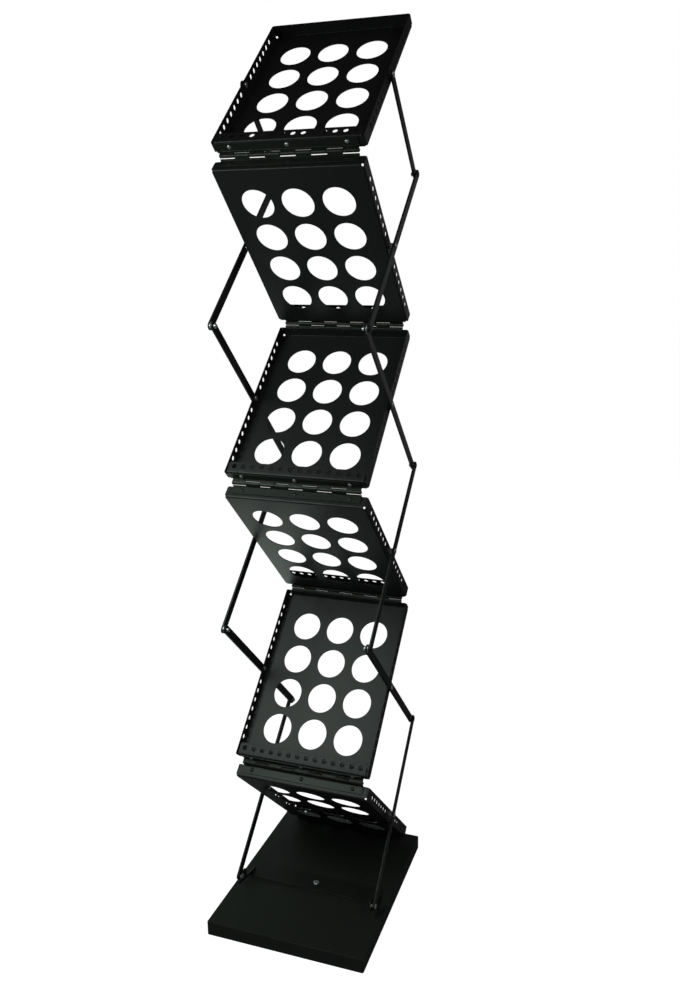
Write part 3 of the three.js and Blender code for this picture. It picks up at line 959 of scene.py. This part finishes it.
def strut_bar(sizes, low, high, holes):
    """A flat bar along Y with round ends, its inner face on Z = 0."""
    half = sizes.width / 2

    def draw(bm):
        line = Outline(bm, -half, low)
        line.arc(0.0, low, math.pi, STRUT_END_STEPS).line(half, high)
        line.arc(0.0, high, math.pi, STRUT_END_STEPS)
        edges = line.close()
        for y in holes:
            edges += ring(bm, 0.0, y, sizes.hole, 20)
        return edges

    bm = plate(draw, Matrix.Identity(4))
    bmesh.ops.recalc_face_normals(bm, faces=bm.faces)
    bm.faces.ensure_lookup_table()
    if bm.faces[0].normal.z > 0:
        bmesh.ops.reverse_faces(bm, faces=bm.faces)
    made = bmesh.ops.extrude_face_region(bm, geom=list(bm.faces), use_keep_orig=True)
    bmesh.ops.translate(
        bm, vec=(0.0, 0.0, sizes.thickness),
        verts=[g for g in made["geom"] if isinstance(g, bmesh.types.BMVert)],
    )
    bmesh.ops.recalc_face_normals(bm, faces=bm.faces)
    bm.normal_update()
    chamfer_rims(bm, sizes.chamfer, segments=2)
    return bm


def painted_head(sizes, y):
    """A joint rivet's low outer head, painted over with the bar."""
    seat = sizes.thickness + 0.00005
    profile = [(0.0, seat), (JOINT_HEAD, seat)] + dome(JOINT_HEAD, 0.0012, seat + 0.0003)
    return turned(profile, 28, Matrix.Translation((0.0, y, 0.0)))


def foot_stud(sizes, base, reach):
    """The headed stud at the lowest bar's end, pointing inwards from its inner face."""
    head_at = base.ear_at - CLEAR - 0.0009
    depth = sizes.outer - head_at
    profile = [
        (0.0, -depth), (STUD_HEAD - 0.0003, -depth), (STUD_HEAD, -depth + 0.0003),
        (STUD_HEAD, -depth + 0.0009), (STUD_RADIUS, -depth + 0.0009), (STUD_RADIUS, 0.0),
        (STUD_RADIUS, sizes.thickness + 0.0002), (STUD_RADIUS + 0.0012, sizes.thickness + 0.0002),
    ] + dome(STUD_RADIUS + 0.0012, 0.0012, sizes.thickness + 0.0004)
    return turned(profile, 24, Matrix.Translation((0.0, -reach, 0.0)))


def strut_place(level, side, sizes):
    """Bar frame: Y up the bar, Z outwards from the stand."""
    middle = JOINT_AT[f"strut_{level}_left_pivot"]
    face = sizes.outer if level % 2 else sizes.inner
    slope = strut_angle() if level % 2 else math.pi - strut_angle()
    lay = Matrix.Rotation(slope, 4, "X")
    out = Matrix(((0, 0, side, 0), (0, 1, 0, 0), (-side, 0, 0, 0), (0, 0, 0, 1)))
    return Matrix.Translation((side * face, middle.y, middle.z)) @ lay @ out


class RACK_OT_make_struts(bpy.types.Operator):
    """Cuts the twelve side bars"""

    bl_idname = "rack.make_struts"
    bl_label = "Side struts"

    def execute(self, context):
        sizes, base = context.scene.rack_struts, context.scene.rack_base
        reach = foot_reach()
        for level in range(1, TRAY_COUNT + 1):
            low = -reach if level == 1 else -sizes.half
            high = 0.0 if level == TRAY_COUNT else sizes.half
            holes = sorted({0.0, high} | ({low} if level > 1 else set()))
            for word, side in SIDES:
                bm = strut_bar(sizes, low, high, holes)
                if level % 2:
                    for y in {low, high} - {-reach}:
                        take_in(bm, painted_head(sizes, y))
                name = f"strut_{level}_{word}"
                place = strut_place(level, side, sizes)
                piece = finished(f"{name}_bar", bm, strut_paint(), place)
                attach(piece, name)
                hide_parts(name)
                if level == 1:
                    bm = foot_stud(sizes, base, reach)
                    stud = finished(f"foot_stud_{word}", bm, zinc_plate(), place)
                    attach(stud, name)
        return {"FINISHED"}


# ---------------------------------------------------------------- strut and tray rivets


def tray_pivot(struts, trays, face):
    """Head inside the flange, a shoulder as spacer, then the round head outside the bar."""
    wall = trays.width / 2
    inside = wall - trays.sheet - CLEAR
    near = wall + CLEAR
    outside = face + struts.thickness + CLEAR
    profile = [(r, inside - h) for r, h in dome(PIVOT_HEAD, 0.0014, 0.0)][::-1]
    profile += [
        (PIVOT_HEAD, inside), (SHANK, inside), (SHANK, near), (PIVOT_SHOULDER, near),
        (PIVOT_SHOULDER, face - CLEAR), (SHANK, face - CLEAR), (SHANK, outside),
        (PIVOT_END, outside),
    ] + dome(PIVOT_END, 0.0016, outside + 0.0003)
    return profile


def strut_rivet(struts):
    """Broad washer between the bars and a long round tail inside the inner one."""
    inner_back = struts.inner - CLEAR
    inner_front = struts.inner + struts.thickness + CLEAR
    outer_back = struts.outer - CLEAR
    outer_front = struts.outer + struts.thickness
    tail_end = inner_back - JOINT_TAIL_LENGTH
    rim = JOINT_WASHER - JOINT_EDGE
    return [
        (0.0, tail_end), (0.0020, tail_end), (0.0030, tail_end + 0.0007),
        (JOINT_TAIL, tail_end + 0.0018), (JOINT_TAIL, inner_back), (SHANK, inner_back),
        (SHANK, inner_front), (rim, inner_front), (JOINT_WASHER, inner_front + JOINT_EDGE),
        (JOINT_WASHER, outer_back - JOINT_EDGE), (rim, outer_back), (SHANK, outer_back),
        (SHANK, outer_front), (0.0, outer_front),
    ]


def rivet_piece(name, profile, y, z, side, body, node):
    place = Matrix.Translation((0.0, y, z)) @ across(side)
    piece = finished(name, turned(profile, 28, place), zinc_plate())
    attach(piece, body)
    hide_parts(node)


class RACK_OT_make_rivets(bpy.types.Operator):
    """Turns the rivets that join struts to trays and struts to struts"""

    bl_idname = "rack.make_rivets"
    bl_label = "Strut rivets"

    def execute(self, context):
        struts, trays = context.scene.rack_struts, context.scene.rack_trays
        for word, side in SIDES:
            for level in range(1, TRAY_COUNT + 1):
                at = JOINT_AT[f"strut_{level}_{word}_pivot"]
                face = struts.outer if level % 2 else struts.inner
                rivet_piece(
                    f"tray_{level}_pivot_{word}", tray_pivot(struts, trays, face), at.y, at.z, side,
                    f"tray_{level}", f"tray_pivot_{level}_{word}",
                )
            for index in range(1, TRAY_COUNT):
                way = 1 if index % 2 else -1
                pivot = JOINT_AT[f"strut_{index}_{word}_pivot"]
                y = pivot.y + way * struts.half * math.cos(strut_angle())
                owner = index if index % 2 else index + 1
                rivet_piece(
                    f"strut_joint_{index}_{word}", strut_rivet(struts), y, HINGE_AT[index].z, side,
                    f"strut_{owner}_{word}", f"strut_rivet_{index}_{word}",
                )
        return {"FINISHED"}


# ---------------------------------------------------------------- base board


class RACK_OT_make_base(bpy.types.Operator):
    """Makes the gloss base board"""

    bl_idname = "rack.make_base"
    bl_label = "Base board"

    def execute(self, context):
        sizes = context.scene.rack_base
        size, middle = BOARD_HIGH - BOARD_LOW, (BOARD_HIGH + BOARD_LOW) / 2
        bm = bmesh.new()
        place = Matrix.Translation(middle) @ Matrix.Diagonal((*size, 1.0))
        bmesh.ops.create_cube(bm, size=1.0, matrix=place)
        mark = bm.faces.layers.float.new(RIM_MARK)
        uprights = [e for e in bm.edges if abs(e.verts[0].co.z - e.verts[1].co.z) > MM]
        bmesh.ops.bevel(
            bm, geom=uprights, offset=sizes.corner, offset_type="OFFSET", segments=6, profile=0.5,
            affect="EDGES", clamp_overlap=True, material=-1,
        )
        level = [e for e in bm.edges if abs(e.verts[0].co.z - e.verts[1].co.z) < MERGE]
        made = bmesh.ops.bevel(
            bm, geom=level, offset=sizes.edge, offset_type="OFFSET", segments=3, profile=0.5,
            affect="EDGES", clamp_overlap=True, material=-1,
        )
        for face in made["faces"]:
            face[mark] = 1.0
        piece = finished("base_board_panel", bm, board_gloss())
        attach(piece, "base")
        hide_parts("base_board")
        return {"FINISHED"}


# ---------------------------------------------------------------- foot strap

STRAP_FRONT = -0.175  # from the bottom hinge axis
STRAP_REAR = -0.139
EAR_ROOT = 0.020  # how far back the ear's foot runs along the strap
SLOT_HALF = 0.0042
EAR_NOSE = 0.0105  # slot's closed end centre to the ear's front edge
EAR_CROWN = 0.0083  # foot pivot to the ear's top edge
LEAF_SCREW = (0.0105, 0.0015)  # behind the bottom hinge axis, and above the board
LEAF_SCREW_X = (-0.091, 0.0, 0.091)


def strap_sheet(sizes):
    """Strap across the board, its ends folded up into forked ears. Z = 0 is the board's top."""
    bend = 0.0022
    half = sizes.ear_at + sizes.ear - bend
    foot_y = -HALF_RUN - foot_reach() * math.cos(strut_angle())
    pivot = HINGE_AT[0].z - BOARD_HIGH.z + FOOT_RISE
    root_front, root_rear = STRAP_FRONT + 0.001, STRAP_FRONT + EAR_ROOT

    def flat(bm):
        line = Outline(bm, -half, root_front)
        line.line(-half + 0.003, STRAP_FRONT).line(half - 0.003, STRAP_FRONT)
        line.line(half, root_front).line(half, root_rear)
        line.line(half, STRAP_REAR - 0.004).arc(half - 0.004, STRAP_REAR - 0.004, QUARTER, 4)
        line.line(-half + 0.004, STRAP_REAR).arc(-half + 0.004, STRAP_REAR - 0.004, QUARTER, 4)
        line.line(-half, root_rear)
        return line.close()

    bm = plate(flat, Matrix.Translation((0.0, 0.0, CLEAR)))
    for side in (-1, 1):
        edges = edges_where(
            bm, lambda co: abs(co.x - side * half) < MERGE and co.y < root_rear + MERGE,
        )
        sweep(bm, edges, (side * half, 0, CLEAR + bend), (0, 1, 0), -side * QUARTER, 4)

    def ear(bm):
        nose, crown = foot_y - EAR_NOSE, pivot + EAR_CROWN
        line = Outline(bm, root_front, CLEAR + bend)
        line.line(root_rear, CLEAR + bend).line(root_rear - 0.004, 0.0065)
        line.line(foot_y + 0.016, 0.0125).line(foot_y + 0.012, crown - 0.003)
        line.arc(foot_y + 0.009, crown - 0.003, QUARTER, 4)
        line.line(nose + 0.003, crown).arc(nose + 0.003, crown - 0.003, QUARTER, 4)
        line.line(nose, pivot + SLOT_HALF).line(foot_y, pivot + SLOT_HALF)
        line.arc(foot_y, pivot, -math.pi, 10)
        line.line(nose, pivot - SLOT_HALF).line(nose, pivot - SLOT_HALF - 0.004)
        return line.close()

    for side in (-1, 1):
        wall = Matrix.Translation((side * (half + bend), 0, 0)) @ SIDE_WALL
        take_in(bm, plate(ear, wall))
    thicken(bm, sizes.strap, 0.00025, (0, 0, -1))
    return bm


def screw_head(radius, height):
    """A low round screw head with a cross recess, looking up from Z = 0."""
    profile = [(0.0, -0.0004), (radius, -0.0004)] + dome(radius, height, 0.0, 6)
    bm = turned(profile, 32, Matrix.Identity(4))
    crown = [f for f in bm.faces if all(v.co.z > height * 0.45 for v in f.verts)]
    arms = [
        f for f in crown
        if abs(math.sin(2 * math.atan2(f.calc_center_median().y, f.calc_center_median().x))) < 0.35
    ]
    bmesh.ops.inset_region(bm, faces=arms, thickness=0.0001, depth=-height * 0.35)
    bmesh.ops.recalc_face_normals(bm, faces=bm.faces)
    return bm


class RACK_OT_make_foot_strap(bpy.types.Operator):
    """Folds the foot strap and sets the screws in strap and base hinge leaf"""

    bl_idname = "rack.make_foot_strap"
    bl_label = "Foot strap"

    def execute(self, context):
        sizes = context.scene.rack_base
        at = Vector((0.0, HINGE_AT[0].y, BOARD_HIGH.z))
        piece = finished(
            "foot_strap_plate", strap_sheet(sizes), hinge_paint(), Matrix.Translation(at),
        )
        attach(piece, "base")
        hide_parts("foot_strap")

        bm = bmesh.new()
        top = CLEAR + sizes.strap
        leaf_screws = [((x, *LEAF_SCREW), 0.0036, 0.0010) for x in LEAF_SCREW_X]
        strap_screw = ((0.0, (STRAP_FRONT + STRAP_REAR) / 2, top), 0.0050, 0.0014)
        for spot, radius, height in [strap_screw] + leaf_screws:
            head = screw_head(radius, height)
            bmesh.ops.translate(head, vec=at + Vector(spot), verts=head.verts)
            take_in(bm, head)
        screws = finished("base_screws", bm, zinc_plate(), angle=25.0)
        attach(screws, "base")
        return {"FINISHED"}


# ---------------------------------------------------------------- stage

CAMERA_AT = (0.51306, -1.15566, 1.04036)
CAMERA_YAW = 16.09
CAMERA_PITCH = 11.5
CAMERA_ROLL = 0.54
CAMERA_SHIFT = (-0.0812, -0.0298)
FLOOR_GLOW = 0.985  # brightness of the floor as the camera sees it
ROOM = 0.03  # brightness of the room as the pieces see it
WHITE = (1.0, 1.0, 1.0, 1.0)
STAND_MIDDLE = (0.0, 0.0, 0.7)
GREENISH = (0.86, 1.0, 0.92)


def soft_light(name, power, size, at, towards, tint=(1.0, 1.0, 1.0)):
    lamp = bpy.data.lights.new(name, "AREA")
    lamp.shape = "RECTANGLE"
    lamp.energy = power
    lamp.size, lamp.size_y = size
    lamp.color = tint
    light = bpy.data.objects.new(name, lamp)
    light.location = at
    aim = Vector(towards) - Vector(at)
    light.rotation_euler = aim.to_track_quat("-Z", "Y").to_euler()
    light.visible_camera = False
    bpy.context.scene.collection.objects.link(light)


def floor_material(tint):
    """A white sweep: it glows to the eye so that only a soft contact shade shows on it."""
    material, tree, shader, vector = new_material("studio_floor")
    path = add_node(tree, "ShaderNodeLightPath")
    cloud = noise(tree, vector, 3.0, 2.0)
    low = tuple(c * 0.97 for c in tint[:3]) + (1.0,)
    pale = blended(tree, cloud, low, tint)
    put(tree, pale, shader.inputs["Base Color"])
    dark, glow = (0.0, 0.0, 0.0, 1.0), (FLOOR_GLOW, FLOOR_GLOW, FLOOR_GLOW, 1.0)
    seen = blended(tree, path.outputs["Is Camera Ray"], dark, glow)
    put(tree, seen, shader.inputs["Emission Color"])
    shader.inputs["Emission Strength"].default_value = 1.0
    shader.inputs["Roughness"].default_value = 0.9
    shader.inputs["Specular IOR Level"].default_value = 0.0
    return material


class RACK_OT_make_stage(bpy.types.Operator):
    """Sets the floor, the soft lights and the camera"""

    bl_idname = "rack.make_stage"
    bl_label = "Stage"

    def execute(self, context):
        stage, scene = context.scene.rack_stage, context.scene
        bm = bmesh.new()
        bmesh.ops.create_circle(bm, cap_ends=True, radius=30.0, segments=64)
        mesh = bpy.data.meshes.new("studio_floor")
        bm.to_mesh(mesh)
        bm.free()
        mesh.materials.append(floor_material(stage.floor[:]))
        floor = bpy.data.objects.new("studio_floor", mesh)
        scene.collection.objects.link(floor)

        world = bpy.data.worlds.new("studio_world")
        world.use_nodes = True
        scene.world = world
        tree = world.node_tree
        back = tree.nodes["Background"]
        seen = add_node(tree, "ShaderNodeBackground")
        seen.inputs["Color"].default_value = WHITE
        seen.inputs["Strength"].default_value = 1.0
        back.inputs["Color"].default_value = WHITE
        back.inputs["Strength"].default_value = ROOM
        path = add_node(tree, "ShaderNodeLightPath")
        mix = add_node(tree, "ShaderNodeMixShader")
        tree.links.new(path.outputs["Is Camera Ray"], mix.inputs["Fac"])
        tree.links.new(back.outputs[0], mix.inputs[1])
        tree.links.new(seen.outputs[0], mix.inputs[2])
        tree.links.new(mix.outputs[0], tree.nodes["World Output"].inputs["Surface"])

        soft_light("key", stage.key, (1.6, 1.6), (2.3, -1.2, 2.6), STAND_MIDDLE)
        soft_light("fill", stage.fill, (2.0, 2.0), (-2.2, -2.2, 1.6), STAND_MIDDLE)
        soft_light("top", 2.8, (0.42, 0.42), (-0.35, -0.54, 1.10), (0.0, -0.05, 0.30), GREENISH)
        soft_light("behind", 3.4, (2.0, 2.4), (1.2, 3.5, 0.9), STAND_MIDDLE)
        soft_light("low", 1.3, (0.55, 0.55), (-0.29, 0.26, 0.03), (0.0, 0.03, 0.64), GREENISH)

        yaw, pitch, roll = (math.radians(a) for a in (CAMERA_YAW, CAMERA_PITCH, CAMERA_ROLL))
        forward = Vector((
            -math.sin(yaw) * math.cos(pitch), math.cos(yaw) * math.cos(pitch), -math.sin(pitch),
        ))
        level = forward.cross(Vector((0.0, 0.0, 1.0))).normalized()
        up = level.cross(forward)
        right = math.cos(roll) * level + math.sin(roll) * up
        up = right.cross(forward)
        lens = bpy.data.cameras.new("camera")
        lens.lens = stage.lens
        lens.sensor_width = 36.0
        lens.sensor_fit = "AUTO"
        lens.shift_x, lens.shift_y = CAMERA_SHIFT
        lens.clip_start, lens.clip_end = 0.05, 100.0
        camera = bpy.data.objects.new("camera", lens)
        basis = Matrix((right, up, -forward)).transposed().to_4x4()
        camera.matrix_world = Matrix.Translation(CAMERA_AT) @ basis
        scene.collection.objects.link(camera)
        scene.camera = camera
        scene.view_settings.view_transform = "Standard"
        scene.view_settings.look = "None"
        return {"FINISHED"}


# ---------------------------------------------------------------- panel


OPERATORS = (
    RACK_OT_make_trays,
    RACK_OT_make_hinges,
    RACK_OT_make_leaf_rivets,
    RACK_OT_make_struts,
    RACK_OT_make_rivets,
    RACK_OT_make_base,
    RACK_OT_make_foot_strap,
    RACK_OT_make_stage,
)

PROPERTY_GROUPS = {
    "rack_trays": RackTraySizes,
    "rack_hinges": RackHingeSizes,
    "rack_struts": RackStrutSizes,
    "rack_base": RackBaseSizes,
    "rack_finishes": RackFinishes,
    "rack_stage": RackStage,
}


class RACK_PT_panel(bpy.types.Panel):
    """Sizes, finishes and makers of the newspaper rack"""

    bl_label = "Newspaper rack"
    bl_idname = "RACK_PT_panel"
    bl_space_type = "VIEW_3D"
    bl_region_type = "UI"
    bl_category = "Rack"

    def draw(self, context):
        for operator in OPERATORS:
            self.layout.operator(operator.bl_idname)
        for attribute, group in PROPERTY_GROUPS.items():
            box = self.layout.box()
            for name in group.__annotations__:
                box.prop(getattr(context.scene, attribute), name)


def register():
    for group in PROPERTY_GROUPS.values():
        bpy.utils.register_class(group)
    for attribute, group in PROPERTY_GROUPS.items():
        setattr(bpy.types.Scene, attribute, PointerProperty(type=group))
    for operator in OPERATORS:
        bpy.utils.register_class(operator)
    bpy.utils.register_class(RACK_PT_panel)


def unregister():
    bpy.utils.unregister_class(RACK_PT_panel)
    for operator in reversed(OPERATORS):
        bpy.utils.unregister_class(operator)
    for attribute in PROPERTY_GROUPS:
        delattr(bpy.types.Scene, attribute)
    for group in reversed(list(PROPERTY_GROUPS.values())):
        bpy.utils.unregister_class(group)


def main():
    register()
    bpy.ops.rack.make_trays()
    bpy.ops.rack.make_hinges()
    bpy.ops.rack.make_leaf_rivets()
    bpy.ops.rack.make_struts()
    bpy.ops.rack.make_rivets()
    bpy.ops.rack.make_base()
    bpy.ops.rack.make_foot_strap()
    bpy.ops.rack.make_stage()
    bpy.context.view_layer.update()


if __name__ == "__main__":
    main()
